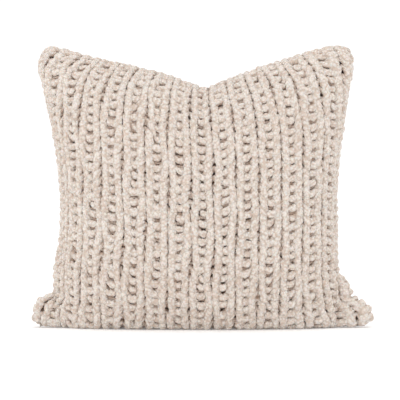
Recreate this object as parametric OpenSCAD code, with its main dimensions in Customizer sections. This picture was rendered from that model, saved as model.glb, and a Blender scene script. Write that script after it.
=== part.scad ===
// Square knitted throw pillow, standing on its lower edge with a pressed-in top edge.
// A cover of two chunky rib-knit panels holds a cotton lining and a separate fibre-filled
// insert. A coil zipper closes the cover along the middle of its lower edge.
// +X runs across the width, the front faces -Y and +Z is up. The floor is z = 0.

/* [Cover] */
// Distance between the tips of the two lower corners
lower_width = 488; // [400:1:560]
// Half width of the left side at its narrowest height
left_waist = 202; // [170:1:215]
// Half width of the right side at its narrowest height
right_waist = 192; // [165:1:215]
// How far the upper left corner stands out past the waist
left_upper_flare = 34; // [10:1:50]
// How far the upper right corner stands out past the waist
right_upper_flare = 25; // [10:1:50]
// Height of the upper corners above the floor
corner_height = 413; // [340:1:470]
// Depth of the pressed-in dip in the middle of the top edge
dip_depth = 76; // [20:1:110]
// Full thickness from the front of the belly to the back of it
full_thickness = 196; // [140:1:240]
// How far the floor has pressed the lower edge upwards
floor_press = 32; // [20:1:50]

/* [Layers] */
// Thickness of the knitted fabric
knit_thickness = 11; // [8:0.5:14]
// Thickness of the side and top seam yarn, which is also the gap between the two panels
seam_yarn_width = 9; // [8.8:0.2:12]
// Thickness of the cotton lining
lining_thickness = 0.8; // [0.5:0.1:1.2]
// Thickness of the insert's woven case
case_thickness = 0.8; // [0.5:0.1:1.2]

/* [Zipper] */
// Length of the closed chain between its end stops
chain_length = 322; // [260:1:340]
// Width of one tape
tape_width = 13; // [10:1:16]
// Distance from one coil turn to the next
coil_pitch = 2.3; // [1.8:0.1:3]
// Length of the slider's body
slider_length = 11; // [9:0.5:12]
// Length of the pull tab from its pin
pull_length = 21; // [16:1:24]

/* [Hidden] */

front = -1;
back = 1;

// Facets across and up each soft surface.
cells_across = 24;
cells_up = 24;

// Shape of the sides, the top edge and the crown.
corner_reach = lower_width / 2;
left_ear_height = 46;
right_ear_height = 38;
ear_power = 6;
right_shelf = 22;
shelf_height = 70;
shelf_power = 8;
left_bulge = 11;
right_bulge = 3;
bulge_height = 65;
bulge_spread = 50;
waist_height = 165;
flare_top = 370;
flare_power = 1.8;
left_corner_taper = 13;
right_corner_taper = 3;
taper_power = 1.5;
dip_offset = 5;
dip_power = 0.8;
dip_rounding = 7;
upper_corner_round = 12;
upper_corner_power = 18;
crown_power_across = 2.5;
crown_power_up = 2.2;
crown_fullness = 0.55;
ear_half_thickness = 9;
ear_full_depth = 20;
ear_roll_power = 9;
floor_blend = 9;
floor_lift_power = 10;
half_gap = seam_yarn_width / 2;
crown = full_thickness / 2 - half_gap;

// Depth of each layer below the outside of the cover.
tape_clearance = 0.3;
tape_thickness = 0.7;
tape_z = knit_thickness + tape_clearance;
lining_depth = tape_z + tape_thickness + tape_clearance;
slider_head_room = 1.9;
case_depth = lining_depth + lining_thickness + slider_head_room;
filling_clearance = 1.5;
filling_depth = case_depth + case_thickness + filling_clearance;
seam_clearance = 0.2;
thread_half_width = 0.3;
thread_inset = 0.1;
sewn_half_gap = 0.5;
zip_slot_share = 0.86;
zip_slot_fade = 0.02;

// Zipper sizes that follow from the tape.
chain_z = tape_z + tape_thickness / 2;
coil_height = 2.6;
coil_inner_y = 0.6;
coil_spine_y = 2.0;
coil_outer_y = 2.9;
coil_tooth_share = 0.62;
tape_overhang = 11;
stop_length = 3;
slider_gap = 1;
slider_half_width = 4;
plate_thickness = 1.1;
plate_gap = 0.35;
flange_width = 0.7;
post_half_width = 0.35;
post_length = 3;
post_setback = 1.2;
pin_radius = 0.7;
pin_clearance = 0.1;
eye_radius = 1.45;
eye_half_width = 1.6;
cheek_inner_y = 1.9;
cheek_width = 0.8;
cheek_half_length = 1.2;
pull_thickness = 1.4;
pull_half_width = 2.9;
slider_x = chain_length / 2 - slider_length / 2 - slider_gap;
lower_plate_z = chain_z - coil_height / 2 - plate_gap - plate_thickness;
upper_plate_z = chain_z + coil_height / 2 + plate_gap;
eye_clearance = 0.25;
pin_z = lower_plate_z - eye_radius - eye_clearance;
stitch_length = 3;
stitch_pitch = 5;
stitch_y = 9.5;
stitch_width = 0.6;
stitch_height = 0.2;

knit_colour = [0.84, 0.77, 0.71];
lining_colour = [0.88, 0.85, 0.79];
case_colour = [0.95, 0.94, 0.92];
thread_colour = [0.80, 0.75, 0.68];
filling_colour = [0.98, 0.98, 0.97];
tape_colour = [0.80, 0.72, 0.64];
coil_colour = [0.72, 0.63, 0.55];
metal_colour = [0.70, 0.68, 0.64];

/* Shape of the pillow. u runs from -1 at the left side to 1 at the right side, and v from 0
   at the lower edge to 1 at the top edge. d is the depth below the outside of the cover. */

function blend(a, b, t) = a + (b - a) * t;

// Even steps of an angle, which crowd the points where the surface turns over at its edges.
function crowded(i, count) = sin(90 * (2 * i / count - 1));

// Half width of the filled body at a height: a waist, a bulge under it and an upper flare that
// is drawn in again at the corner's tip.
function body_half_width(u, z) =
    let (left = u < 0)
    let (rise = min(1, max(0, z - waist_height) / (flare_top - waist_height)))
    let (tip = max(0, z - flare_top) / (corner_height - flare_top))
    (left ? left_waist : right_waist)
    + (left ? left_bulge : right_bulge) * exp(-pow((z - bulge_height) / bulge_spread, 2))
    + (left ? left_upper_flare : right_upper_flare) * pow(rise, flare_power)
    - (left ? left_corner_taper : right_corner_taper) * pow(tip, taper_power);

// The lower corners are flat ears that stand out beside the filled body. The right one has a
// shelf above it.
function half_width(u, z) =
    let (body = body_half_width(u, z))
    let (ear_height = u < 0 ? left_ear_height : right_ear_height)
    let (shelf = u < 0 ? 0 : right_shelf)
    body + shelf * exp(-pow(max(0, z) / shelf_height, shelf_power))
    + (corner_reach - body - shelf) * exp(-pow(max(0, z) / ear_height, ear_power));

// The top edge: a dip near the middle, and corners that are rounded off.
function top_edge(u) =
    let (beside = u - dip_offset / corner_reach)
    let (reach = sqrt(pow(beside, 2) + pow(dip_rounding / corner_reach, 2)))
    corner_height - dip_depth * (1 - pow(reach, dip_power))
    - upper_corner_round * pow(abs(u), upper_corner_power);

// The floor carries the lower edge but not the tips of its corners.
function lower_edge(u) = -floor_press * (1 - pow(abs(u), floor_lift_power));

// Presses what is below the floor up to it, with a short round blend.
function on_floor(z) =
    z > floor_blend ? z :
    z < -floor_blend ? 0 :
    pow(z + floor_blend, 2) / (4 * floor_blend);

// How much of the crown is reached. across runs from 0 in the middle to 1 at the body's side.
function crown_share(across, v) =
    pow(1 - pow(min(1, across), crown_power_across), crown_fullness)
    * pow(1 - pow(abs(2 * v - 1), crown_power_up), crown_fullness);

// The flat of the ears, which is rounded off at its edges.
function ear_share(u, v) =
    sqrt(1 - pow(abs(u), ear_roll_power)) * sqrt(1 - pow(abs(2 * v - 1), ear_roll_power));

// One point of a layer. side is front or back, and gap is the distance from the seam plane.
function layer_point(u, v, d, side, gap) =
    let (low = lower_edge(u) + d)
    let (z = blend(low, top_edge(u) - d, v))
    let (x = u * (half_width(u, z) - d))
    let (across = abs(x) / (body_half_width(u, z) - d))
    let (ear = ear_half_thickness * (1 - d / ear_full_depth))
    let (rise = (crown - d - ear) * crown_share(across, v) + ear * ear_share(u, v))
    [x, side * (gap + rise), d + on_floor(z - d)];

// The gap at a point of a layer: seam_gap, opened to zip_gap between the ends of the zipper.
function layer_gap(u, v, seam_gap, zip_gap) =
    abs(u) > zip_slot_share ? seam_gap : blend(seam_gap, zip_gap, exp(-v / zip_slot_fade));

function layer_grid(d, side, seam_gap, zip_gap) = [
    for (row = [0 : cells_up])
        for (column = [0 : cells_across])
            let (u = crowded(column, cells_across))
            let (v = (1 + crowded(row, cells_up)) / 2)
            layer_point(u, v, d, side, layer_gap(u, v, seam_gap, zip_gap))
];

/* Faces of a grid. first is the number of the grid's first point, and flip turns it over. */

function corner(row, column) = row * (cells_across + 1) + column;
function turned(face, flip) = flip ? [face[2], face[1], face[0]] : face;

function sheet_faces(first, flip) = [
    for (row = [0 : cells_up - 1])
        for (column = [0 : cells_across - 1])
            let (a = first + corner(row, column))
            let (b = first + corner(row, column + 1))
            let (c = first + corner(row + 1, column + 1))
            let (e = first + corner(row + 1, column))
            each [turned([a, b, c], flip), turned([a, c, e], flip)]
];

// The points around the grid's edge, in order.
rim = [
    for (column = [0 : cells_across - 1]) corner(0, column),
    for (row = [0 : cells_up - 1]) corner(row, cells_across),
    for (column = [cells_across : -1 : 1]) corner(cells_up, column),
    for (row = [cells_up : -1 : 1]) corner(row, 0)
];

function rim_faces(second, flip) = [
    for (i = [0 : len(rim) - 1])
        let (a = rim[i])
        let (b = rim[(i + 1) % len(rim)])
        each [turned([a, a + second, b + second], flip), turned([a, b + second, b], flip)]
];

// A curved sheet of fabric between two depths, on one side of the seam plane.
module fabric_shell(depth, thickness, side, seam_gap, zip_gap) {
    outside = layer_grid(depth, side, seam_gap, zip_gap);
    inside = layer_grid(depth + thickness, side, seam_gap, zip_gap);
    flip = side == back;
    polyhedron(
        points = concat(outside, inside),
        faces = concat(
            sheet_faces(0, flip),
            sheet_faces(len(outside), !flip),
            rim_faces(len(outside), flip)
        )
    );
}

/* Seams. A seam is a strip in the seam plane, along a list of [u, v] places on the edge. */

corner_return = 0.88;
return_step = 0.03;
top_seam_share = 0.95;
left_route = [
    for (u = [-corner_return : -return_step : return_step / 2 - 1]) [u, 0],
    for (row = [0 : cells_up]) [-1, (1 + crowded(row, cells_up)) / 2]
];
right_route = [for (place = left_route) [-place[0], place[1]]];
top_route = [for (column = [0 : cells_across]) [crowded(column, cells_across), 1]];
closed_route = [
    for (i = rim) [
        crowded(i % (cells_across + 1), cells_across),
        (1 + crowded(floor(i / (cells_across + 1)), cells_up)) / 2
    ]
];

// Four points of a strip's section at one place: outside back, outside front, and inside.
function strip_section(place, outer, inner, half_width) = [
    layer_point(place[0], place[1], outer, back, half_width),
    layer_point(place[0], place[1], outer, front, half_width),
    layer_point(place[0], place[1], inner, front, half_width),
    layer_point(place[0], place[1], inner, back, half_width)
];

function strip_faces(count, closed) = [
    for (i = [0 : count - (closed ? 1 : 2)])
        for (k = [0 : 3])
            let (a = 4 * i + k)
            let (b = 4 * i + (k + 1) % 4)
            let (c = 4 * ((i + 1) % count) + (k + 1) % 4)
            let (e = 4 * ((i + 1) % count) + k)
            each [[a, b, c], [a, c, e]]
];

module seam_strip(route, outer, inner, half_width, closed = false, flip = false) {
    count = len(route);
    sides = strip_faces(count, closed);
    ends = closed ? [] : [[0, 3, 2], [0, 2, 1], 4 * (count - 1) * [1, 1, 1] + [0, 1, 2],
        4 * (count - 1) * [1, 1, 1] + [0, 2, 3]];
    polyhedron(
        points = [for (place = route) each strip_section(place, outer, inner, half_width)],
        faces = [for (face = concat(sides, ends)) turned(face, flip)]
    );
}

/* Cover */

module knit_panel(side) {
    color(knit_colour) fabric_shell(0, knit_thickness, side, half_gap, half_gap);
}
module front_knit_panel() { knit_panel(front); }
module back_knit_panel() { knit_panel(back); }

module side_seam_yarn(route, flip) {
    color(knit_colour)
        seam_strip(route, 0, knit_thickness, half_gap - seam_clearance, flip = flip);
}
module left_seam_yarn() { side_seam_yarn(left_route, true); }
module right_seam_yarn() { side_seam_yarn(right_route, false); }

// The top seam stops short of the side seams, which close both upper corners.
module top_seam_yarn() {
    inner_route = [
        for (place = top_route)
            if (abs(place[0]) < top_seam_share) place
    ];
    color(knit_colour)
        seam_strip(inner_route, 0, knit_thickness, half_gap - seam_clearance, flip = true);
}

module lining(side) {
    color(lining_colour)
        fabric_shell(lining_depth, lining_thickness, side, sewn_half_gap, half_gap);
}
module front_lining() { lining(front); }
module back_lining() { lining(back); }

module lining_seam_thread() {
    inner_route = [
        for (place = closed_route)
            if (place[1] > 0) place
    ];
    color(thread_colour)
        seam_strip(
            inner_route,
            lining_depth + thread_inset,
            lining_depth + lining_thickness - thread_inset,
            thread_half_width
        );
}

/* Insert */

module insert_case(side) {
    color(case_colour)
        fabric_shell(case_depth, case_thickness, side, sewn_half_gap, sewn_half_gap);
}
module front_insert_case() { insert_case(front); }
module back_insert_case() { insert_case(back); }

module insert_seam_thread() {
    color(thread_colour)
        seam_strip(
            closed_route,
            case_depth + thread_inset,
            case_depth + case_thickness - thread_inset,
            thread_half_width,
            closed = true
        );
}

// The fibre filling is one closed body, as wide as the inside of its case.
module insert_filling() {
    front_grid = layer_grid(filling_depth, front, sewn_half_gap, sewn_half_gap);
    back_grid = layer_grid(filling_depth, back, sewn_half_gap, sewn_half_gap);
    color(filling_colour)
        polyhedron(
            points = concat(front_grid, back_grid),
            faces = concat(
                sheet_faces(0, false),
                sheet_faces(len(front_grid), true),
                rim_faces(len(front_grid), false)
            )
        );
}

/* Zipper */

module zip_tape(side) {
    half_length = chain_length / 2 + tape_overhang;
    color(tape_colour)
        translate([-half_length, side == front ? -coil_outer_y - tape_width : coil_outer_y, tape_z])
            cube([2 * half_length, tape_width, tape_thickness]);
}
module front_zip_tape() { zip_tape(front); }
module back_zip_tape() { zip_tape(back); }

// A row of coil turns on a straight spine, as the outline of a comb.
module zip_coil(side) {
    turns = floor(chain_length / coil_pitch);
    start = -turns * coil_pitch / 2;
    edge = (1 - coil_tooth_share) / 2;
    teeth = [
        for (i = [0 : turns - 1])
            each [
                [start + (i + edge) * coil_pitch, coil_spine_y],
                [start + (i + edge) * coil_pitch, coil_inner_y],
                [start + (i + 1 - edge) * coil_pitch, coil_inner_y],
                [start + (i + 1 - edge) * coil_pitch, coil_spine_y]
            ]
    ];
    spine = [[-start, coil_spine_y], [-start, coil_outer_y], [start, coil_outer_y],
        [start, coil_spine_y]];
    color(coil_colour)
        translate([0, 0, chain_z - coil_height / 2])
            linear_extrude(coil_height)
                scale([1, side == front ? -1 : 1])
                    polygon(concat(teeth, spine));
}
module front_zip_coil() { zip_coil(front); }
module back_zip_coil() { zip_coil(back); }

// A pair of clamps, one on the edge of each tape, at the closed end.
module zip_top_stops() {
    color(metal_colour)
        for (side = [front, back])
            translate([chain_length / 2, side == front ? -coil_outer_y : coil_inner_y,
                chain_z - coil_height / 2])
                cube([stop_length, coil_outer_y - coil_inner_y, coil_height]);
}

// A single clamp that joins both tapes at the open end.
module zip_bottom_stop() {
    color(metal_colour)
        translate([-chain_length / 2 - stop_length, -coil_outer_y, chain_z - coil_height / 2])
            cube([stop_length, 2 * coil_outer_y, coil_height]);
}

// One row of stitches along the middle of each tape.
module zip_stitching() {
    stitches = floor(chain_length / stitch_pitch);
    color(thread_colour)
        for (side = [front, back])
            for (i = [0 : stitches - 1])
                translate([
                    (i - stitches / 2) * stitch_pitch,
                    side * stitch_y - stitch_width / 2,
                    tape_z + tape_thickness + (tape_clearance - stitch_height) / 2
                ])
                    cube([stitch_length, stitch_width, stitch_height]);
}

// Outline of the slider's plates: a bar with two round ends.
module slider_plate() {
    straight = slider_length - 2 * slider_half_width;
    square([straight, 2 * slider_half_width], center = true);
    for (end = [-1, 1])
        translate([end * straight / 2, 0]) circle(r = slider_half_width, $fn = 64);
}

// The straight part of the plates carries the flanges that hold the coils in.
module slider_flange(base_z, height) {
    straight = slider_length - 2 * slider_half_width;
    for (side = [front, back])
        translate([-straight / 2, side == front ? -slider_half_width : slider_half_width
            - flange_width, base_z])
            cube([straight, flange_width, height]);
}

module zip_slider() {
    lower_top = lower_plate_z + plate_thickness;
    flange_gap = 0.2;
    color(metal_colour)
        translate([slider_x, 0, 0])
            union() {
                translate([0, 0, lower_plate_z]) linear_extrude(plate_thickness) slider_plate();
                translate([0, 0, upper_plate_z]) linear_extrude(plate_thickness) slider_plate();
                translate([slider_length / 2 - post_length - post_setback, -post_half_width,
                    lower_top])
                    cube([post_length, 2 * post_half_width, upper_plate_z - lower_top]);
                slider_flange(lower_top, tape_z - flange_gap - lower_top);
                slider_flange(
                    tape_z + tape_thickness + flange_gap,
                    upper_plate_z - tape_z - tape_thickness - flange_gap
                );
                for (side = [front, back])
                    translate([-cheek_half_length, side == front ? -cheek_inner_y - cheek_width
                        : cheek_inner_y, pin_z - cheek_half_length])
                        cube([2 * cheek_half_length, cheek_width,
                            lower_plate_z - pin_z + cheek_half_length]);
                translate([0, 0, pin_z])
                    rotate([90, 0, 0])
                        cylinder(r = pin_radius, h = 2 * cheek_inner_y + cheek_width, center = true,
                            $fn = 48);
            }
}

// The tab lies along the chain, towards the open end, and turns on the slider's pin.
module zip_pull() {
    neck_length = 4;
    color(metal_colour)
        translate([slider_x, 0, pin_z])
            difference() {
                union() {
                    rotate([90, 0, 0])
                        cylinder(r = eye_radius, h = 2 * eye_half_width, center = true, $fn = 64);
                    translate([-neck_length, -eye_half_width, -pull_thickness / 2])
                        cube([neck_length, 2 * eye_half_width, pull_thickness]);
                    translate([-pull_length + pull_half_width, -pull_half_width,
                        -pull_thickness / 2])
                        cube([pull_length - pull_half_width - neck_length, 2 * pull_half_width,
                            pull_thickness]);
                    translate([-pull_length + pull_half_width, 0, -pull_thickness / 2])
                        cylinder(r = pull_half_width, h = pull_thickness, $fn = 64);
                }
                rotate([90, 0, 0])
                    cylinder(r = pin_radius + pin_clearance, h = 4 * eye_half_width,
                        center = true, $fn = 48);
            }
}

front_knit_panel();
back_knit_panel();
left_seam_yarn();
right_seam_yarn();
top_seam_yarn();
front_lining();
back_lining();
lining_seam_thread();
front_insert_case();
back_insert_case();
insert_seam_thread();
insert_filling();
front_zip_tape();
back_zip_tape();
front_zip_coil();
back_zip_coil();
zip_top_stops();
zip_bottom_stop();
zip_stitching();
zip_slider();
zip_pull();
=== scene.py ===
"""A square throw pillow in a chunky rib knit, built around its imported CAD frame.

Both panels are knitted here from real yarn: each course is one long tube of loops, laid over a
smooth surface that follows the CAD's knit shells. The lining, the insert and the zipper lie inside.
Lengths are in metres, +X runs across the pillow, the front faces -Y and the floor is z = 0.
On the shape, u runs from -1 at the left side to 1 at the right, and v from 0 below to 1 above.
"""

import math

import bpy
import numpy as np
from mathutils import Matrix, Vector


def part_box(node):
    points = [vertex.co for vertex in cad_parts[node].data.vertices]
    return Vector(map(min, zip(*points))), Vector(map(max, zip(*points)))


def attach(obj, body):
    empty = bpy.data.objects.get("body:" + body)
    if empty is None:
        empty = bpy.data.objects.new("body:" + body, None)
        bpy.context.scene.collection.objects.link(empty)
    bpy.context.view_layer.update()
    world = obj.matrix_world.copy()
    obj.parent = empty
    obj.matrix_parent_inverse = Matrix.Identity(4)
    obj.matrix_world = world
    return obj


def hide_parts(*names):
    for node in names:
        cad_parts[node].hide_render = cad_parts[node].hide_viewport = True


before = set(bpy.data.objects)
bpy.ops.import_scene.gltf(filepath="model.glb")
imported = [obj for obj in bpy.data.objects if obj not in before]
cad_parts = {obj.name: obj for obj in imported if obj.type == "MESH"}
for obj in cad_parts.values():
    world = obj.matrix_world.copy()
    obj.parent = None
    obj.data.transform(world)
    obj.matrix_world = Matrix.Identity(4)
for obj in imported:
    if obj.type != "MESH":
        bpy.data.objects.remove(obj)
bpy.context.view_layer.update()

MM = 0.001
rng = np.random.default_rng(20)

# ---------------------------------------------------------------- sizes, from the CAD frame

knit_low, knit_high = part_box("front_knit_panel")
tape_low, tape_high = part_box("front_zip_tape")
coil_low, coil_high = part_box("front_zip_coil")

corner_reach = knit_high.x
top_height = knit_high.z
crown = knit_high.y - knit_low.y
half_gap = -knit_high.y
lining_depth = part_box("front_lining")[0].z
case_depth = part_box("front_insert_case")[0].z
filling_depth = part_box("insert_filling")[0].z

# ---------------------------------------------------------------- the pillow's shape

# The filled body: half its width at the waist, and how far it bulges below and flares above.
LEFT_WAIST = 0.828 * corner_reach
RIGHT_WAIST = 0.7868 * corner_reach
WAIST_HEIGHT = 0.406 * top_height
LEFT_BULGE = 11 * MM
RIGHT_BULGE = 3 * MM
BULGE_HEIGHT = 65 * MM
BULGE_SPREAD = 50 * MM
LEFT_FLARE = 34 * MM
RIGHT_FLARE = 25 * MM
FLARE_TOP = 0.91 * top_height
FLARE_POWER = 1.8

# The upper corners, which are drawn in towards their tips and rounded there.
CORNER_HEIGHT = top_height + 6 * MM
LEFT_TAPER = 13 * MM
RIGHT_TAPER = 3 * MM
TAPER_POWER = 1.5
CORNER_ROUND = 12 * MM
CORNER_POWER = 18

# The flat ears at the lower corners, and a low shelf over the right one. An ear is thinner in
# a deeper layer, and has no thickness left at its full depth.
LEFT_EAR_HEIGHT = 44 * MM
RIGHT_EAR_HEIGHT = 37 * MM
RIGHT_SHELF = 22 * MM
SHELF_HEIGHT = 70 * MM
EAR_POWER = 8
EAR_HALF_THICKNESS = 9 * MM
EAR_FULL_DEPTH = 20 * MM
EAR_EDGE_POWER = 9

# The top edge: pressed in near the middle, and drooping on the left.
DIP_DEPTH = 76 * MM
DIP_OFFSET = 5 * MM
DIP_ROUNDING = 7 * MM
DIP_POWER = 0.8
LEFT_DROOP = 22 * MM

# The lower edge: how far its weight would press it past the floor, but for the corners.
FLOOR_PRESS = 32 * MM
FLOOR_PRESS_POWER = 10
FLOOR_BLEND = 9 * MM

# How soon the filled body gets deep, in from its sides and in from its lower and top edges.
SIDE_POWER = 2.5
END_POWER = 2.2
FULLNESS = 0.55


def blend(a, b, t):
    return a + (b - a) * t


def by_side(u, left, right):
    """One value on the left of the pillow and another on the right."""
    return np.where(u < 0, left, right)


def body_half_width(u, z):
    """Half width of the filled body: a waist, a bulge under it and an upper flare that is
    drawn in again at the corner's tip."""
    rise = np.clip((z - WAIST_HEIGHT) / (FLARE_TOP - WAIST_HEIGHT), 0, 1)
    tip = np.maximum(0, z - FLARE_TOP) / (CORNER_HEIGHT - FLARE_TOP)
    bulge = by_side(u, LEFT_BULGE, RIGHT_BULGE) * np.exp(-(((z - BULGE_HEIGHT) / BULGE_SPREAD) ** 2))
    flare = by_side(u, LEFT_FLARE, RIGHT_FLARE) * rise**FLARE_POWER
    taper = by_side(u, LEFT_TAPER, RIGHT_TAPER) * tip**TAPER_POWER
    return by_side(u, LEFT_WAIST, RIGHT_WAIST) + bulge + flare - taper


def half_width(u, z):
    """The body and the flat ears that stand out beside it at the lower corners."""
    body = body_half_width(u, z)
    shelf = by_side(u, 0, RIGHT_SHELF)
    above = np.maximum(0, z)
    ear_height = by_side(u, LEFT_EAR_HEIGHT, RIGHT_EAR_HEIGHT)
    ear = (corner_reach - body - shelf) * np.exp(-((above / ear_height) ** EAR_POWER))
    return body + shelf * np.exp(-((above / SHELF_HEIGHT) ** EAR_POWER)) + ear


def top_edge(u):
    """Height of the top edge: a pressed-in middle, rounded corners, and a droop on the left."""
    beside = u - DIP_OFFSET / corner_reach
    reach = np.sqrt(beside**2 + (DIP_ROUNDING / corner_reach) ** 2)
    dip = DIP_DEPTH * (1 - reach**DIP_POWER)
    corner = CORNER_ROUND * np.abs(u) ** CORNER_POWER
    droop = by_side(u, LEFT_DROOP, 0) * u**2 * (1 - u**4)
    return CORNER_HEIGHT - dip - corner - droop


def on_floor(z):
    """Presses what lies below the floor up to it, with a short round blend."""
    pressed = np.where(z < -FLOOR_BLEND, 0.0, (z + FLOOR_BLEND) ** 2 / (4 * FLOOR_BLEND))
    return np.where(z > FLOOR_BLEND, z, pressed)


def layer_point(u, v, depth, side, gap=half_gap):
    """A point of the cover, depth below its outside. side is -1 in front and 1 behind, and gap
    is the distance of the layer's edges from the seam plane."""
    low = -FLOOR_PRESS * (1 - np.abs(u) ** FLOOR_PRESS_POWER) + depth
    z = blend(low, top_edge(u) - depth, v)
    x = u * (half_width(u, z) - depth)
    across = np.minimum(1, np.abs(x) / (body_half_width(u, z) - depth))
    up = np.abs(2 * v - 1)
    ear = EAR_HALF_THICKNESS * (1 - depth / EAR_FULL_DEPTH)
    share = (1 - across**SIDE_POWER) ** FULLNESS * (1 - up**END_POWER) ** FULLNESS
    ear_share = np.sqrt(1 - np.abs(u) ** EAR_EDGE_POWER) * np.sqrt(1 - up**EAR_EDGE_POWER)
    rise = (crown - depth - ear) * share + ear * ear_share
    return np.stack([x, side * (gap + rise), depth + on_floor(z - depth)], axis=-1)


# ---------------------------------------------------------------- the cover as a map

# Points each way of the shape that the map is made from, the map's columns on one panel and
# its rows, and how often its normals are smoothed.
SHAPE_SAMPLES = 201
PANEL_COLUMNS = 169
MAP_ROWS = 221
NORMAL_PASSES = 6
SHORTEST_VECTOR = 1e-12

# Ribs between a panel's middle and its side seam, and how far those in the middle have slid
# to the left, as seen from the panel's own side.
RIBS_TO_SEAM = 7.5
SLIDE = 0.35 / RIBS_TO_SEAM
SLIDE_POWER = 6

# How the dip pulls the ribs towards it, and how far down from the top edge.
PULL_TO_DIP = 0.13
PULL_HEIGHT = 50 * MM
PULL_POWER = 9
PULL_FADE = 1.5

# The share of the ribs that stays straight beside the ears, and where they hang from, as v.
STRAIGHT_RIBS = 0.55
ABOVE_EARS = 0.2


def crowded(count):
    """Numbers from -1 to 1 that lie closer together towards both ends."""
    return np.sin(np.linspace(-math.pi / 2, math.pi / 2, count))


def fractions_along(line):
    """How far along a polyline each of its points lies, as a fraction of its length."""
    steps = np.linalg.norm(np.diff(line, axis=0), axis=1)
    return np.concatenate([[0.0], np.cumsum(steps)]) / steps.sum()


def resample(line, fractions):
    """Points at the given fractions of a polyline's length."""
    known = fractions_along(line)
    return np.stack([np.interp(fractions, known, line[:, k]) for k in range(3)], axis=1)


def rib_fraction(q, below_top):
    """How far along its row a rib lies, where q runs from -1 to 1 over a panel's ribs. In the
    middle they have slid to the left, and near the top they are pulled towards the dip."""
    pull = PULL_TO_DIP * math.exp(-((below_top / PULL_HEIGHT) ** PULL_FADE))
    slid = q - SLIDE * (1 - q**SLIDE_POWER)
    return (1 + slid - pull * (q - np.sign(q) * np.abs(q) ** PULL_POWER)) / 2


def low_row(row, reference, q, evenly):
    """Ribs of a row at the height of the ears. The inner ribs stay right under those of a
    reference row above, and the outer ones spread evenly out into the ears."""
    way = np.sign(row[-1, 0] - row[0, 0])
    passed = np.maximum.accumulate(way * row[:, 0])
    straight = np.interp(way * reference[:, 0], passed, fractions_along(row))
    outer = np.clip((np.abs(q) - STRAIGHT_RIBS) / (1 - STRAIGHT_RIBS), 0, 1)
    return resample(row, blend(straight, evenly, outer))


def along_ribs(rows, heights):
    """A panel's rows with their points moved onto its ribs. heights holds each row's v."""
    q = np.linspace(-1, 1, PANEL_COLUMNS)
    spread = [rib_fraction(q, (1 - v) * top_height) for v in heights]
    ribbed = np.stack([resample(row, fractions) for row, fractions in zip(rows, spread)])
    reference = np.searchsorted(heights, ABOVE_EARS)
    for i in range(reference):
        ribbed[i] = low_row(rows[i], ribbed[reference], q, spread[i])
    return ribbed


def even_columns(rows):
    """The same columns of points, with a map's number of rows evenly spaced along each."""
    even = np.linspace(0, 1, MAP_ROWS)
    return np.stack([resample(column, even) for column in rows.swapaxes(0, 1)], axis=1)


def unit(vectors):
    length = np.linalg.norm(vectors, axis=-1, keepdims=True)
    return vectors / np.maximum(length, SHORTEST_VECTOR)


class FabricMap:
    """A layer of the cover. around runs from -1 at the left seam over the front to 1 at the
    right seam, and on over the back to 3. up runs from 0 at the lower edge to 1 at the top
    edge, and past it down the other side."""

    def __init__(self, depth):
        u = crowded(SHAPE_SAMPLES)
        v = (1 + u) / 2
        grid_u, grid_v = np.meshgrid(u, v)
        front = layer_point(grid_u, grid_v, depth, -1)
        back = layer_point(grid_u, grid_v, depth, 1)[:, ::-1]
        left = (front[:, :1] + back[:, -1:]) / 2
        right = (front[:, -1:] + back[:, :1]) / 2
        front = along_ribs(np.concatenate([left, front, right], axis=1), v)
        back = along_ribs(np.concatenate([right, back, left], axis=1), v)
        top = (front[-1] + back[-1, ::-1]) / 2
        front = even_columns(np.concatenate([front, top[None]]))
        back = even_columns(np.concatenate([back, top[None, ::-1]]))
        self.points = np.concatenate([front[:, :-1], back[:, :-1]], axis=1)
        self.columns = self.points.shape[1]
        self.normals = self.find_normals()

    def find_normals(self):
        """Directions straight out from the layer, smoothed so that the yarn lies softly."""
        across = np.roll(self.points, -1, axis=1) - np.roll(self.points, 1, axis=1)
        upward = np.gradient(self.points, axis=0)
        normals = unit(np.cross(unit(across), unit(upward)))
        for _ in range(NORMAL_PASSES):
            flipped = np.roll(normals[:, ::-1], 1 + self.columns // 2, axis=1)
            padded = np.concatenate([normals[:1], normals, flipped[-2:-1]])
            blurred = padded[:-2] + 2 * normals + padded[2:]
            blurred = np.roll(blurred, 1, axis=1) + 2 * blurred + np.roll(blurred, -1, axis=1)
            normals = unit(blurred)
        return normals

    def place(self, around, up, height):
        """Places at these positions on the layer, at a height out from it."""
        over = up > 1
        around = np.where(over, 2 - around, around)
        up = np.clip(np.where(over, 2 - up, up), 0, 1)
        column = ((around + 1) / 4 % 1.0) * self.columns
        row = up * (MAP_ROWS - 1)
        column_before = np.floor(column).astype(int)
        row_below = np.minimum(row.astype(int), MAP_ROWS - 2)
        past_column = (column - column_before)[..., None]
        past_row = (row - row_below)[..., None]
        column_before = column_before % self.columns
        column_after = (column_before + 1) % self.columns

        def mixed_row(grid, row):
            before = grid[row, column_before] * (1 - past_column)
            return before + grid[row, column_after] * past_column

        def mixed(grid):
            low = mixed_row(grid, row_below)
            return low * (1 - past_row) + mixed_row(grid, row_below + 1) * past_row

        return mixed(self.points) + unit(mixed(self.normals)) * height[..., None]


# ---------------------------------------------------------------- round strands and waves

# A direction that no strand runs along, and the corners round a thin strand.
OFF_AXIS = np.array([0.31, 0.87, 0.39])
THIN_SIDES = 6


def waves(count, shortest, longest):
    """Random sine waves for a smooth noise: wave numbers and phases."""
    numbers = 2 * math.pi / rng.uniform(shortest, longest, count)
    return numbers, rng.uniform(0, 2 * math.pi, count)


def ripple(where, wave_set):
    """The noise of a set of waves at each place, from about -1 to 1."""
    numbers, phases = wave_set
    total = np.zeros(np.shape(where))
    for number, phase in zip(numbers, phases):
        total += np.sin(where * number + phase)
    return total / math.sqrt(len(numbers))


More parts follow.
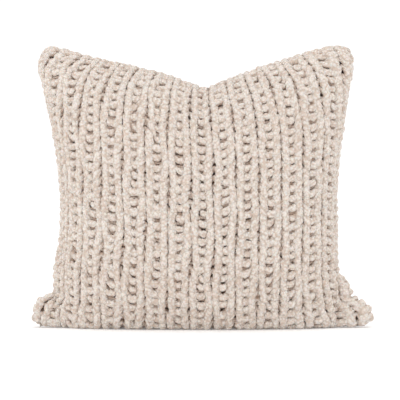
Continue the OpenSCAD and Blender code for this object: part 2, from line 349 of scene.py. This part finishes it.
def add_mesh(name, points, quads, caps=()):
    """A mesh object from arrays: points, four-cornered faces and faces with more corners."""
    mesh = bpy.data.meshes.new(name)
    sizes = np.concatenate([np.full(len(quads), 4), [len(cap) for cap in caps]]).astype(int)
    corners = np.concatenate([quads.ravel(), *caps]).astype(np.int32)
    mesh.vertices.add(len(points))
    mesh.vertices.foreach_set("co", points.astype(np.float32).ravel())
    mesh.loops.add(len(corners))
    mesh.loops.foreach_set("vertex_index", corners)
    mesh.polygons.add(len(sizes))
    mesh.polygons.foreach_set("loop_start", np.concatenate([[0], np.cumsum(sizes)[:-1]]))
    mesh.polygons.foreach_set("use_smooth", np.ones(len(sizes), bool))
    mesh.update(calc_edges=True)
    mesh.validate()
    obj = bpy.data.objects.new(name, mesh)
    bpy.context.scene.collection.objects.link(obj)
    return obj


def store(obj, name, values):
    """Keeps one number per point on a mesh, for its material to read."""
    layer = obj.data.attributes.new(name, "FLOAT", "POINT")
    layer.data.foreach_set("value", np.asarray(values, np.float32).ravel())


def turns_of(sides):
    return np.linspace(0, 2 * math.pi, sides, endpoint=False)


def spokes(along, outward, turns):
    """Unit vectors that stand out round a path, turned from outward by each of the turns."""
    sideways = np.cross(along, outward)
    turns = turns[:, None]
    return np.cos(turns) * outward[:, None] + np.sin(turns) * sideways[:, None]


def tube_faces(count, sides, first=0):
    """The faces and the two end caps of a tube of rings whose points are numbered from first."""
    index = first + np.arange(count * sides).reshape(count, sides)
    turned = np.roll(index, -1, axis=1)
    corners = [index[:-1], turned[:-1], turned[1:], index[1:]]
    return np.stack(corners, axis=-1).reshape(-1, 4), [index[0, ::-1], index[-1]]


def tube(name, path, radius, sides=THIN_SIDES):
    """A round strand along a path in space."""
    along = unit(np.gradient(path, axis=0))
    outward = unit(np.cross(along, OFF_AXIS))
    rings = path[:, None] + radius * spokes(along, outward, turns_of(sides))
    return add_mesh(name, rings.reshape(-1, 3), *tube_faces(len(path), sides))


# ---------------------------------------------------------------- yarn

# The fabric laid flat: ribs, courses of stitches, and its height between its two edges.
RIB = 31.1 * MM
COURSES = 35
BANDS = 3
STITCH = 13 * MM
PANEL_HEIGHT = 438 * MM
FIRST_COURSE = -20 * MM
LOWER_EDGE = 6 * MM
TOP_ROOM = 8 * MM
KNIT_DEPTH = 6 * MM
REST_CLEARANCE = 0.2 * MM

# Points along a loop and round the yarn.
LOOP_SAMPLES = 36
SIDES = 12

# Standard deviations from loop to loop: its shift across, up and out, its width and height,
# and its yarn's thickness.
SHIFT_SPREAD = (0.9 * MM, 1.0 * MM, 0.7 * MM)
SIZE_SPREAD = (0.06, 0.04)
THICKNESS_SPREAD = 0.07

# Slow wander of the ribs sideways and of the courses up and down: its size, and how fast it
# changes across the fabric and, unless that is 1, up it.
RIB_WANDER = 1.5 * MM
RIB_WANDER_ACROSS = 3
COURSE_WANDER = 1.0 * MM
COURSE_WANDER_ACROSS = 2
COURSE_WANDER_UP = 0.3

# The straight strand behind each course.
STRAND_RISE = 7.5 * MM
STRAND_HEIGHT = -3 * MM
STRAND_RADIUS = 3 * MM
STRAND_SAMPLES = 5
STRAND_WANDER = 0.8 * MM

# The nubs along the yarn: waves in its thickness, which also turn round it.
NUB_WAVES = 7
NUB_SHORTEST = 5 * MM
NUB_LONGEST = 13 * MM
NUB_SWELL = 0.13
NUB_TURNS = 2

# The two twisted strands along the top edge.
BAND_TWIST = 33 * MM
BAND_RADIUS = 2 * MM
BAND_FLATNESS = 0.6
BAND_HEIGHT = -1 * MM
BAND_YARN = 5 * MM
BAND_STEP = 1.5 * MM

# The strand that closes the lower edge under an ear: the range of u that it covers, its
# thickness, and the tone and the height in millimetres (for painted shade) that its material reads.
CLOSING_START = 0.8
CLOSING_END = 0.975
CLOSING_SAMPLES = 28
CLOSING_RADIUS = 4.5 * MM
CLOSING_SHADE = 0.5
CLOSING_HEIGHT = 2.0

# Half of a loop, from the middle of its round bottom out to the deep link to the next rib:
# across the rib, up it, out from the fabric, and the yarn's radius.
HALF_LOOP = MM * np.array(
    [
        (0.0, 0.0, 0.9, 5.3),
        (2.9, 1.2, 0.1, 5.0),
        (5.2, 4.0, -1.8, 4.3),
        (7.6, 8.5, 0.5, 4.4),
        (9.1, 14.0, 2.3, 4.9),
        (10.3, 19.5, 1.8, 4.9),
        (12.2, 24.0, -0.8, 4.4),
        (RIB / MM / 2, 26.5, -2.6, 4.0),
    ]
)

WANDER_ACROSS = waves(4, shortest=60 * MM, longest=190 * MM)
WANDER_UP = waves(4, shortest=90 * MM, longest=260 * MM)
LUMPS_ACROSS = waves(5, shortest=25 * MM, longest=70 * MM)
LUMPS_UP = waves(5, shortest=25 * MM, longest=70 * MM)


def smooth_line(points, before, after, count):
    """A Catmull-Rom curve through points, sampled evenly in its parameter. before and after
    are the points that it comes from and goes on to."""
    padded = np.concatenate([[before], points, [after]])
    place = np.linspace(0, len(points) - 1, count)
    span = np.minimum(place.astype(int), len(points) - 2)
    t = (place - span)[:, None]
    p0, p1, p2, p3 = (padded[span + k] for k in range(4))
    return 0.5 * (
        2 * p1
        + (p2 - p0) * t
        + (2 * p0 - 5 * p1 + 4 * p2 - p3) * t**2
        + (3 * p1 - p0 - 3 * p2 + p3) * t**3
    )


def one_loop():
    """The whole loop, left link to right link, as rows of across, up, out and radius."""
    mirror = np.array([-1, 1, 1, 1])
    next_rib = np.array([RIB, 0, 0, 0])
    points = np.concatenate([HALF_LOOP[:0:-1] * mirror, HALF_LOOP])
    before = points[1] * mirror - next_rib
    after = points[-2] * mirror + next_rib
    return smooth_line(points, before, after, LOOP_SAMPLES + 1)


LOOP = one_loop()


def course_line(ribs, course):
    """The centre line of one course over some neighbouring ribs, in flat fabric lengths."""
    start = FIRST_COURSE + course * STITCH
    room = (PANEL_HEIGHT - TOP_ROOM - start) / HALF_LOOP[-1, 1]
    lines = []
    for rib in ribs:
        shift = rng.normal(0, SHIFT_SPREAD)
        size = 1 + rng.normal(0, SIZE_SPREAD)
        line = LOOP[:-1].copy()
        middle = np.cos(math.pi * line[:, 0] / RIB) ** 2
        line[:, 0] *= 1 + (size[0] - 1) * middle
        line[:, 1] *= min(1, room) * size[1]
        line[:, :3] += middle[:, None] * shift
        line[:, 3] *= 1 + rng.normal(0, THICKNESS_SPREAD) * middle
        line[:, 0] += rib * RIB
        line[:, 1] += start
        lines.append(line)
    line = np.concatenate(lines)
    across = line[:, 0].copy()
    line[:, 0] += RIB_WANDER * ripple(line[:, 1] + RIB_WANDER_ACROSS * across, WANDER_ACROSS)
    place = COURSE_WANDER_ACROSS * across + COURSE_WANDER_UP * line[:, 1]
    line[:, 1] += COURSE_WANDER * ripple(place, WANDER_UP)
    line[:, 1] = np.maximum(line[:, 1], LOWER_EDGE)
    return line


def inner_strand(ribs, course):
    """The straight strand that a course leaves on the inside of the fabric."""
    count = len(ribs) * STRAND_SAMPLES + 1
    line = np.empty((count, 4))
    line[:, 0] = (np.linspace(ribs[0], ribs[-1] + 1, count) - 0.5) * RIB
    height = FIRST_COURSE + course * STITCH + STRAND_RISE
    line[:, 1] = np.clip(height, LOWER_EDGE, PANEL_HEIGHT - TOP_ROOM)
    line[:, 1] += STRAND_WANDER * ripple(line[:, 0], WANDER_UP)
    line[:, 2] = STRAND_HEIGHT
    line[:, 3] = STRAND_RADIUS
    return line


def yarn_rings(line):
    """The nubby yarn round a centre line, as rings of places in flat fabric lengths."""
    path = line[:, :3]
    along = unit(np.gradient(path, axis=0))
    out = np.array([0.0, 0.0, 1.0])
    outward = unit(out - (along @ out)[:, None] * along)
    steps = np.linalg.norm(np.diff(path, axis=0), axis=1)
    length = np.concatenate([[0], np.cumsum(steps)])
    turns = turns_of(SIDES)
    numbers, phases = waves(NUB_WAVES, NUB_SHORTEST, NUB_LONGEST)
    swell = np.zeros((len(path), SIDES))
    for number, phase in zip(numbers, phases):
        twist = rng.integers(-NUB_TURNS, NUB_TURNS + 1) * turns
        swell += np.sin(number * length[:, None] + twist + phase)
    radius = line[:, 3:4] * (1 + NUB_SWELL * swell / math.sqrt(NUB_WAVES))
    return path[:, None] + radius[..., None] * spokes(along, outward, turns)


def yarn_object(name, lines, fabric):
    """Tubes of yarn along flat lines, laid on the fabric, as one mesh object. Its material reads
    each tube's own tone, and each point's height out from the layer in millimetres, for painted
    shade."""
    points = []
    quads = []
    caps = []
    shade = []
    heights = []
    first = 0
    for line in lines:
        rings = yarn_rings(line)
        around = rings[..., 0] / (RIBS_TO_SEAM * RIB)
        laid = fabric.place(around, rings[..., 1] / PANEL_HEIGHT, rings[..., 2])
        laid[..., 2] = np.maximum(laid[..., 2], REST_CLEARANCE)
        faces, ends = tube_faces(len(line), SIDES, first)
        count = len(line) * SIDES
        points.append(laid.reshape(-1, 3))
        quads.append(faces)
        caps += ends
        shade.append(np.full(count, rng.uniform(0, 1)))
        heights.append(rings[..., 2].ravel())
        first += count
    obj = add_mesh(name, np.concatenate(points), np.concatenate(quads), caps)
    store(obj, "strand", np.concatenate(shade))
    store(obj, "height", np.concatenate(heights) / MM)
    return obj


def knit_panel(name, ribs, fabric):
    """One face of the cover, as a few bands of courses from the lower edge up."""
    pieces = []
    for band, courses in enumerate(np.array_split(np.arange(COURSES), BANDS)):
        loops = [course_line(ribs, course) for course in courses]
        strands = [inner_strand(ribs, course) for course in courses]
        pieces.append(yarn_object(f"{name}_band_{band + 1}", loops + strands, fabric))
    return pieces


def seam_rib(name, rib, fabric):
    """The rib of loops that joins the two panels along a side."""
    return yarn_object(name, [course_line([rib], course) for course in range(COURSES)], fabric)


def closing_yarn(name, side):
    """The thick strand that closes the lower edge between the ear's tip and the zipper."""
    u = side * np.linspace(CLOSING_START, CLOSING_END, CLOSING_SAMPLES)
    path = layer_point(u, np.zeros_like(u), KNIT_DEPTH, -1, 0)
    nubs = waves(NUB_WAVES, NUB_SHORTEST, NUB_LONGEST)
    swell = 1 + NUB_SWELL * ripple(path[:, 0], nubs)
    closing = tube(name, path, CLOSING_RADIUS * swell[:, None, None], SIDES)
    count = len(closing.data.vertices)
    store(closing, "strand", np.full(count, CLOSING_SHADE))
    store(closing, "height", np.full(count, CLOSING_HEIGHT))
    return closing


def top_seam(name, fabric):
    """Two strands twisted round each other along the top edge."""
    reach = RIBS_TO_SEAM * RIB
    count = int(2 * reach / BAND_STEP)
    across = np.linspace(-reach, reach, count)
    lines = []
    for phase in (0, math.pi):
        turn = 2 * math.pi * across / BAND_TWIST + phase
        line = np.empty((count, 4))
        line[:, 0] = across
        line[:, 1] = PANEL_HEIGHT + BAND_RADIUS * np.cos(turn)
        line[:, 2] = BAND_HEIGHT + BAND_FLATNESS * BAND_RADIUS * np.sin(turn)
        line[:, 3] = BAND_YARN
        lines.append(line)
    return yarn_object(name, lines, fabric)


# ---------------------------------------------------------------- lining, insert and threads

CLOTH_CELLS = 72
LINING_CUT = 0.48
INSERT_CUT = 0.457
CLOTH_THICKNESS = 0.8 * MM
SEWN_GAP = 0.5 * MM
LUMP_DEPTH = 1 * MM
STITCH_LENGTH = 3 * MM
THREAD_RADIUS = 0.35 * MM
SEAM_SAMPLES = 400


def closed_shell(name, upper, lower):
    """A closed solid between two grids of points of the same shape. Seen from outside the
    upper one, each row runs to the right and the next row lies above it."""
    rows, columns = upper.shape[:2]
    first = np.arange(rows * columns).reshape(rows, columns)
    second = first + rows * columns

    def cells(index):
        corners = [index[:-1, :-1], index[:-1, 1:], index[1:, 1:], index[1:, :-1]]
        return np.stack(corners, axis=-1).reshape(-1, 4)

    rim = np.concatenate([first[0], first[1:, -1], first[-1, -2::-1], first[-2:0:-1, 0]])
    under = rim + rows * columns
    sides = np.stack([rim, under, np.roll(under, -1), np.roll(rim, -1)], axis=-1)
    faces = np.concatenate([cells(first), cells(second)[:, ::-1], sides])
    points = np.concatenate([upper.reshape(-1, 3), lower.reshape(-1, 3)])
    return add_mesh(name, points, faces)


def layer_grid(depth, side):
    """A grid of points over one half of a sewn layer."""
    u = crowded(CLOTH_CELLS + 1)
    grid_u, grid_v = np.meshgrid(u, (1 + u) / 2)
    return layer_point(grid_u, grid_v, depth, side, SEWN_GAP)


def cloth_panel(name, depth, side):
    """A thin panel of cloth that follows the cover at a depth."""
    outer = layer_grid(depth, side)
    inner = layer_grid(depth + CLOTH_THICKNESS, side)
    return closed_shell(name, outer, inner) if side < 0 else closed_shell(name, inner, outer)


def fibre_filling(name, depth):
    """The filling, with the soft lumps of loose fibre pressed into its case."""
    faces = []
    for side in (-1, 1):
        grid = layer_grid(depth, side)
        lumps = 1 + ripple(grid[..., 0], LUMPS_ACROSS) * ripple(grid[..., 2], LUMPS_UP)
        grid[..., 1] -= np.clip(grid[..., 1] / crown, -1, 1) * lumps * LUMP_DEPTH
        faces.append(grid)
    return closed_shell(name, *faces)


def seam_thread(name, depth, all_round):
    """A line of small stitches through the seam of two panels of cloth, along the sides and
    the top, and along the lower edge too where it goes all round."""
    even = np.linspace(-1, 1, SEAM_SAMPLES)
    one = np.ones(SEAM_SAMPLES)
    upward = (1 + even) / 2
    route = [(-one, upward), (even, one), (one, upward[::-1])]
    if all_round:
        route.append((even[::-1], 0 * one))
    path = np.concatenate([layer_point(u, v, depth, -1, 0) for u, v in route])
    length = np.linalg.norm(np.diff(path, axis=0), axis=1).sum()
    count = int(length / STITCH_LENGTH) * 2
    path = resample(path, np.linspace(0, 1, count))
    path[:, 1] += np.resize([SEWN_GAP, SEWN_GAP, -SEWN_GAP, -SEWN_GAP], count)
    return tube(name, path, THREAD_RADIUS)


# ---------------------------------------------------------------- zipper

COIL_PITCH = 2.3 * MM
COIL_SAMPLES = 12
MONOFILAMENT_RADIUS = 0.42 * MM
TAPE_COLUMNS = 160
TAPE_ROWS = 12
TAPE_UNEVENNESS = 0.08 * MM
TAPE_WAVE_ALONG = 4 * MM
TAPE_WAVE_ACROSS = 2 * MM


def zip_tape(name, side):
    """A woven tape with a slightly uneven surface."""
    x = np.linspace(tape_low.x, tape_high.x, TAPE_COLUMNS)
    y = np.linspace(*sorted((-side * tape_low.y, -side * tape_high.y)), TAPE_ROWS)
    grid_x, grid_y = np.meshgrid(x, y)
    wave = 1 + np.sin(grid_x / TAPE_WAVE_ALONG) * np.cos(grid_y / TAPE_WAVE_ACROSS)
    wave = TAPE_UNEVENNESS * wave
    upper = np.stack([grid_x, grid_y, tape_high.z - wave], axis=-1)
    lower = np.stack([grid_x, grid_y, tape_low.z + wave], axis=-1)
    return closed_shell(name, upper, lower)


def zip_coil(name, side):
    """A row of nylon coil turns, as one long flattened helix."""
    turns = int((coil_high.x - coil_low.x) / COIL_PITCH)
    t = np.linspace(0, turns, turns * COIL_SAMPLES + 1)
    angle = 2 * math.pi * t
    middle = (coil_low + coil_high) / 2
    reach = (coil_high.y - coil_low.y) / 2 - MONOFILAMENT_RADIUS
    height = (coil_high.z - coil_low.z) / 2 - MONOFILAMENT_RADIUS
    x = coil_low.x + COIL_PITCH * t
    y = side * (-middle.y + reach * np.cos(angle))
    z = middle.z + height * np.sin(angle)
    return tube(name, np.stack([x, y, z], axis=1), MONOFILAMENT_RADIUS)


# ---------------------------------------------------------------- materials

WHITE = (1, 1, 1, 1)

# Wool: two tones of yarn, and painted shade in its colour: brown between its nubs, and a
# darker brown where the yarn lies deep.
WOOL_LIGHT = (0.835, 0.77, 0.71, 1)
WOOL_SHADED = (0.80, 0.72, 0.655, 1)
WOOL_PAINTED_CREASE_SHADE = (0.52, 0.38, 0.29, 1)
WOOL_PAINTED_DEEP_SHADE = (0.34, 0.19, 0.115, 1)
NUB_SCALE = 250.0
NUB_BEND = 4 * MM
HAIR_SHARE = 0.3

# The lining's cotton, deepened to a warm brown: partly its own colour, partly painted shade for the
# gaps in the knit that show it.
LINING_COTTON_AND_GAP_SHADE = (0.72, 0.52, 0.40, 1)
TICKING = (0.82, 0.81, 0.78, 1)
TAPE = (0.56, 0.46, 0.37, 1)
POLYESTER = (0.85, 0.85, 0.84, 1)
THREAD = (0.62, 0.54, 0.45, 1)
NICKEL = (0.62, 0.60, 0.56, 1)
NYLON_DARK = (0.50, 0.41, 0.33, 1)
NYLON_LIGHT = (0.58, 0.49, 0.41, 1)

# The wave texture multiplies a place by this.
WAVE_FACTOR = 20

# The mix node has inputs and outputs of the same names for each kind. These are its colour's.
MIX_INPUTS = (0, 6, 7)
MIX_RESULT = 2


def material(name):
    made = bpy.data.materials.new(name)
    made.use_nodes = True
    tree = made.node_tree
    return made, tree, tree.nodes["Principled BSDF"]


def set_inputs(made, **values):
    """Sets a node's inputs by their names, written with _ for each space."""
    for name, value in values.items():
        made.inputs[name.replace("_", " ")].default_value = value


def node(tree, kind, **values):
    made = tree.nodes.new(kind)
    set_inputs(made, **values)
    return made


def mix_colour(tree, factor, a, b):
    """A colour mix whose inputs are sockets or constant colours."""
    made = tree.nodes.new("ShaderNodeMix")
    made.data_type = "RGBA"
    for number, value in zip(MIX_INPUTS, (factor, a, b)):
        if hasattr(value, "is_output"):
            tree.links.new(value, made.inputs[number])
        else:
            made.inputs[number].default_value = value
    return made.outputs[MIX_RESULT]


def ranged(tree, value, **limits):
    """A value moved from one range into another."""
    made = node(tree, "ShaderNodeMapRange", **limits)
    tree.links.new(value, made.inputs["Value"])
    return made.outputs["Result"]


def attribute(tree, name):
    made = tree.nodes.new("ShaderNodeAttribute")
    made.attribute_name = name
    return made.outputs["Fac"]


def object_place(tree):
    return tree.nodes.new("ShaderNodeTexCoord").outputs["Object"]


def place_noise(tree, scale, detail, rough):
    noise = node(tree, "ShaderNodeTexNoise", Scale=scale, Detail=detail, Roughness=rough)
    tree.links.new(object_place(tree), noise.inputs["Vector"])
    return noise.outputs["Fac"]


def relief(tree, shader, height, strength, distance, invert=False):
    """Raises a material's surface where a pattern is high, or where it is low."""
    bump = node(tree, "ShaderNodeBump", Strength=strength, Distance=distance)
    bump.invert = invert
    tree.links.new(height, bump.inputs["Height"])
    tree.links.new(bump.outputs["Normal"], shader.inputs["Normal"])


def darkened(colour, share):
    return tuple(share * c for c in colour[:3]) + (1,)


def nub_cells(tree):
    """How far each place on the yarn is from the middle of a nub, with the nubs bent out of
    line by a noise."""
    place = object_place(tree)
    bends = node(tree, "ShaderNodeTexNoise", Scale=120.0, Detail=2.0)
    tree.links.new(place, bends.inputs["Vector"])
    bent = tree.nodes.new("ShaderNodeVectorMath")
    bent.operation = "MULTIPLY_ADD"
    tree.links.new(bends.outputs["Color"], bent.inputs[0])
    bent.inputs[1].default_value = (NUB_BEND, NUB_BEND, NUB_BEND)
    tree.links.new(place, bent.inputs[2])
    nubs = node(tree, "ShaderNodeTexVoronoi", Scale=NUB_SCALE)
    tree.links.new(bent.outputs["Vector"], nubs.inputs["Vector"])
    return nubs.outputs["Distance"]


def wool():
    """Thick nubby wool: pale oatmeal and matt, with painted shade in its colour: pinkish brown
    between its nubs and where it lies deep."""
    made, tree, shader = material("oatmeal_wool")
    nubs = nub_cells(tree)
    # Painted shade: brown between the nubs, where shade falls into the creases of the yarn.
    painted_crease_shade_mask = ranged(tree, nubs, From_Min=0.35, From_Max=0.75, To_Min=0.0, To_Max=0.62)
    # Painted shade: the colour turns a darker brown the deeper the yarn lies in the fabric.
    height = attribute(tree, "height")
    painted_deep_shade_mask = ranged(tree, height, From_Min=-4.5, From_Max=3.5, To_Min=1.0, To_Max=0.0)
    colour = mix_colour(tree, attribute(tree, "strand"), WOOL_LIGHT, WOOL_SHADED)
    colour = mix_colour(tree, painted_crease_shade_mask, colour, WOOL_PAINTED_CREASE_SHADE)
    colour = mix_colour(tree, painted_deep_shade_mask, colour, WOOL_PAINTED_DEEP_SHADE)
    tree.links.new(colour, shader.inputs["Base Color"])
    set_inputs(
        shader,
        Roughness=0.95,
        Subsurface_Weight=0.15,
        Subsurface_Radius=(1.0, 0.6, 0.4),
        Subsurface_Scale=3 * MM,
        Specular_IOR_Level=0.2,
        Sheen_Weight=0.15,
        Sheen_Roughness=0.6,
    )
    hairs = place_noise(tree, scale=700.0, detail=3.0, rough=0.7)
    surface = mix_colour(tree, HAIR_SHARE, nubs, hairs)
    relief(tree, shader, surface, strength=1.0, distance=3.0 * MM, invert=True)
    return made


def woven(name, colour, thread, slant=0.0):
    """A cloth whose warp and weft are fine bands. A band's wave turns by one radian in the
    length of thread, and slant, in radians, turns the weave into a twill."""
    made, tree, shader = material(name)
    turned = node(tree, "ShaderNodeMapping", Rotation=(0, slant, 0))
    tree.links.new(object_place(tree), turned.inputs["Vector"])
    bands = []
    for direction in ("X", "Z"):
        band = node(tree, "ShaderNodeTexWave", Scale=1 / thread / WAVE_FACTOR, Distortion=0.6)
        band.bands_direction = direction
        tree.links.new(turned.outputs["Vector"], band.inputs["Vector"])
        bands.append(band.outputs["Fac"])
    weave = mix_colour(tree, 0.5, *bands)
    tint = mix_colour(tree, weave, darkened(colour, 0.72), colour)
    tree.links.new(tint, shader.inputs["Base Color"])
    set_inputs(shader, Roughness=0.9)
    relief(tree, shader, weave, strength=0.5, distance=0.2 * MM)
    return made


def fibres(name, colour, scale, rough):
    """Loose or spun fibre: a matt colour broken up by fine noise."""
    made, tree, shader = material(name)
    strands = place_noise(tree, scale, detail=5.0, rough=0.7)
    tint = mix_colour(tree, strands, darkened(colour, 0.8), colour)
    tree.links.new(tint, shader.inputs["Base Color"])
    set_inputs(shader, Roughness=rough)
    relief(tree, shader, strands, strength=0.4, distance=0.5 * MM)
    return made


def brushed_nickel():
    """Tumbled zinc with a satin nickel finish and a fine uneven grain."""
    made, tree, shader = material("satin_nickel")
    set_inputs(shader, Base_Color=NICKEL, Metallic=1.0)
    grain = place_noise(tree, scale=2500.0, detail=3.0, rough=0.8)
    rough = ranged(tree, grain, From_Min=0.2, From_Max=0.8, To_Min=0.22, To_Max=0.45)
    tree.links.new(rough, shader.inputs["Roughness"])
    relief(tree, shader, grain, strength=0.15, distance=0.05 * MM)
    return made


def nylon():
    """The zipper coil's monofilament: smooth and slightly waxy."""
    made, tree, shader = material("coil_nylon")
    cloudy = place_noise(tree, scale=600.0, detail=2.0, rough=0.6)
    tint = mix_colour(tree, cloudy, NYLON_DARK, NYLON_LIGHT)
    tree.links.new(tint, shader.inputs["Base Color"])
    set_inputs(shader, Roughness=0.32)
    return made


def pale_floor():
    made, _, shader = material("pale_floor")
    set_inputs(
        shader,
        Base_Color=(0.93, 0.93, 0.93, 1),
        Roughness=0.9,
        Specular_IOR_Level=0.1,
        Emission_Color=WHITE,
        Emission_Strength=0.12,
    )
    return made


def dress(obj, made):
    obj.data.materials.clear()
    obj.data.materials.append(made)
    return obj


# ---------------------------------------------------------------- stage, lights and camera

FLOOR_REACH = 8.0
SKY_STRENGTH = 1.10
LAMP_POWER = 12
LAMP_SIZE = 1.6
LAMP_PLACE = (-0.9, -1.9, 2.2)
LAMP_TARGET = (0, 0, 0.2)

# The camera, and the width that it sees in a plane a little in front of the pillow's seam.
CAMERA_DISTANCE = 2.6
CAMERA_HEIGHT = 0.182
CAMERA_LEFT = 0.0035
VIEW_PLANE = 0.02
VIEW_WIDTH = 0.568


def lay_floor():
    corners = [(-1, -1, 0), (1, -1, 0), (1, 1, 0), (-1, 1, 0)]
    points = FLOOR_REACH * np.array(corners)
    floor_mesh = bpy.data.meshes.new("floor")
    floor_mesh.from_pydata(points.tolist(), [], [(0, 1, 2, 3)])
    floor = bpy.data.objects.new("floor", floor_mesh)
    bpy.context.scene.collection.objects.link(floor)
    dress(floor, pale_floor())


def light_sky():
    """An even white light from all round."""
    world = bpy.data.worlds.new("studio")
    world.use_nodes = True
    set_inputs(world.node_tree.nodes["Background"], Color=WHITE, Strength=SKY_STRENGTH)
    bpy.context.scene.world = world


def hang_lamp():
    """A large soft lamp, high up at the left in front."""
    key = bpy.data.lights.new("key", "AREA")
    key.energy = LAMP_POWER
    key.size = LAMP_SIZE
    lamp = bpy.data.objects.new("key", key)
    lamp.location = LAMP_PLACE
    aim = np.array(LAMP_TARGET) - np.array(LAMP_PLACE)
    tilt = math.acos(-aim[2] / np.linalg.norm(aim))
    lamp.rotation_euler = (tilt, 0, math.atan2(aim[1], aim[0]) - math.pi / 2)
    bpy.context.scene.collection.objects.link(lamp)


def set_camera():
    """A long lens, level and square on, as a product picture is taken."""
    lens = bpy.data.cameras.new("camera")
    lens.sensor_width = 36
    lens.lens = lens.sensor_width * (CAMERA_DISTANCE - VIEW_PLANE) / VIEW_WIDTH
    lens.clip_start = 0.05
    seen = bpy.data.objects.new("camera", lens)
    seen.location = (-CAMERA_LEFT, -CAMERA_DISTANCE, CAMERA_HEIGHT)
    seen.rotation_euler = (math.pi / 2, 0, 0)
    bpy.context.scene.collection.objects.link(seen)
    bpy.context.scene.camera = seen
    bpy.context.scene.view_settings.view_transform = "Standard"


# ---------------------------------------------------------------- making the pillow


def stand_in(piece, made, replaced):
    """Dresses a piece and lets it ride on the cover in place of a CAD node."""
    dress(piece, made)
    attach(piece, "cover")
    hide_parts(replaced)


set_camera()
lay_floor()
light_sky()
hang_lamp()

fabric = FabricMap(KNIT_DEPTH)
wool_yarn = wool()

front_ribs = np.arange(1 - RIBS_TO_SEAM, RIBS_TO_SEAM)
back_ribs = front_ribs + 2 * RIBS_TO_SEAM
knitted = {
    "front_knit_panel": knit_panel("front_knit", front_ribs, fabric),
    "back_knit_panel": knit_panel("back_knit", back_ribs, fabric),
    "left_seam_yarn": [
        seam_rib("left_seam_rib", -RIBS_TO_SEAM, fabric),
        closing_yarn("left_closing_yarn", -1),
    ],
    "right_seam_yarn": [
        seam_rib("right_seam_rib", RIBS_TO_SEAM, fabric),
        closing_yarn("right_closing_yarn", 1),
    ],
    "top_seam_yarn": [top_seam("top_seam_strands", fabric)],
}
for replaced, pieces in knitted.items():
    for piece in pieces:
        stand_in(piece, wool_yarn, replaced)

# The lining's cotton, its colour partly painted shade for the gaps in the knit.
cotton = woven("cotton_with_painted_gap_shade", LINING_COTTON_AND_GAP_SHADE, 0.6 * MM)
ticking = woven("white_ticking", TICKING, 0.5 * MM)
tape_twill = woven("tape_twill", TAPE, 0.5 * MM, slant=0.8)
fill_fibre = fibres("polyester_fibre", POLYESTER, scale=400.0, rough=0.95)
sewing_thread = fibres("sewing_thread", THREAD, scale=3000.0, rough=0.7)
nickel = brushed_nickel()
coil_nylon = nylon()

for side, word in ((-1, "front"), (1, "back")):
    for layer, depth, cloth, slot, flat in (
        ("lining", lining_depth, cotton, "cotton_lining", LINING_CUT),
        ("insert_case", case_depth, ticking, "insert_case", INSERT_CUT),
    ):
        panel = cloth_panel(f"{word}_{layer}_cloth", depth, side)
        stand_in(panel, cloth, f"{word}_{layer}")
    stand_in(zip_tape(f"{word}_tape", side), tape_twill, f"{word}_zip_tape")
    stand_in(zip_coil(f"{word}_coil", side), coil_nylon, f"{word}_zip_coil")

filling = fibre_filling("fibre_filling", filling_depth)
stand_in(filling, fill_fibre, "insert_filling")

for seam, depth, all_round in (("lining", lining_depth, False), ("insert", case_depth, True)):
    thread = seam_thread(f"{seam}_stitches", depth, all_round)
    stand_in(thread, sewing_thread, f"{seam}_seam_thread")

dress(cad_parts["zip_stitching"], sewing_thread)
for part in ("zip_top_stops", "zip_bottom_stop", "zip_slider", "zip_pull"):
    dress(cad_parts[part], nickel)
